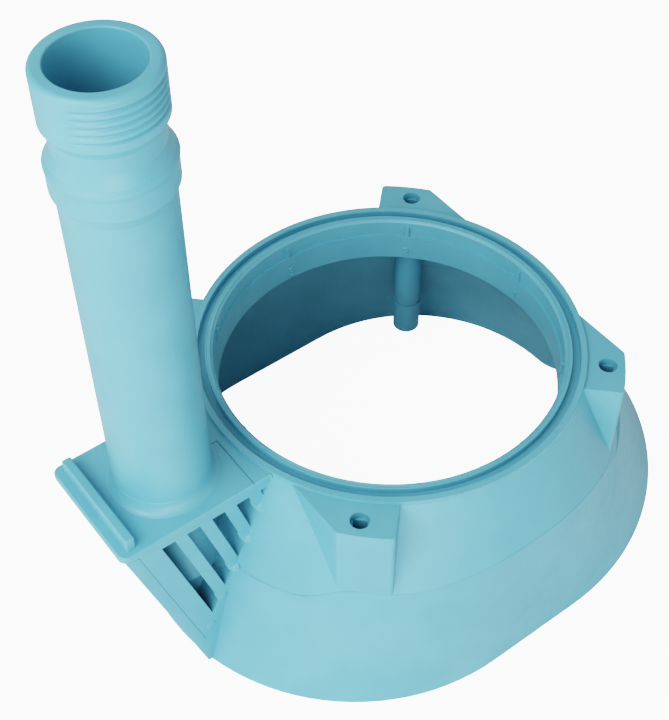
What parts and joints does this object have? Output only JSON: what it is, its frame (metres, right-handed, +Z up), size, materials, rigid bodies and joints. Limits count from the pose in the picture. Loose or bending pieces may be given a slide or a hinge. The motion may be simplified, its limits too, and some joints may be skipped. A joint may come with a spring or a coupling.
{
  "type": "volute pump casing",
  "caption": "Moulded volute pump casing with a motor ring, four bolt ears, an open base and an upright threaded outlet pipe.",
  "frame": {"origin": "centre of the motor ring's bolt circle, on the top face of the four ears", "axes": "+Z up along the motor ring's axis and the outlet pipe, +X and +Y towards two of the four ears; the outlet pipe stands between -X and -Y"},
  "size_m": [0.2041, 0.2, 0.2474],
  "materials": {
    "casing": "satin moulded polypropylene, pale blue-green"
  },
  "bodies": {
    "root": {"pump_casing": "casing"}
  },
  "joints": []
}
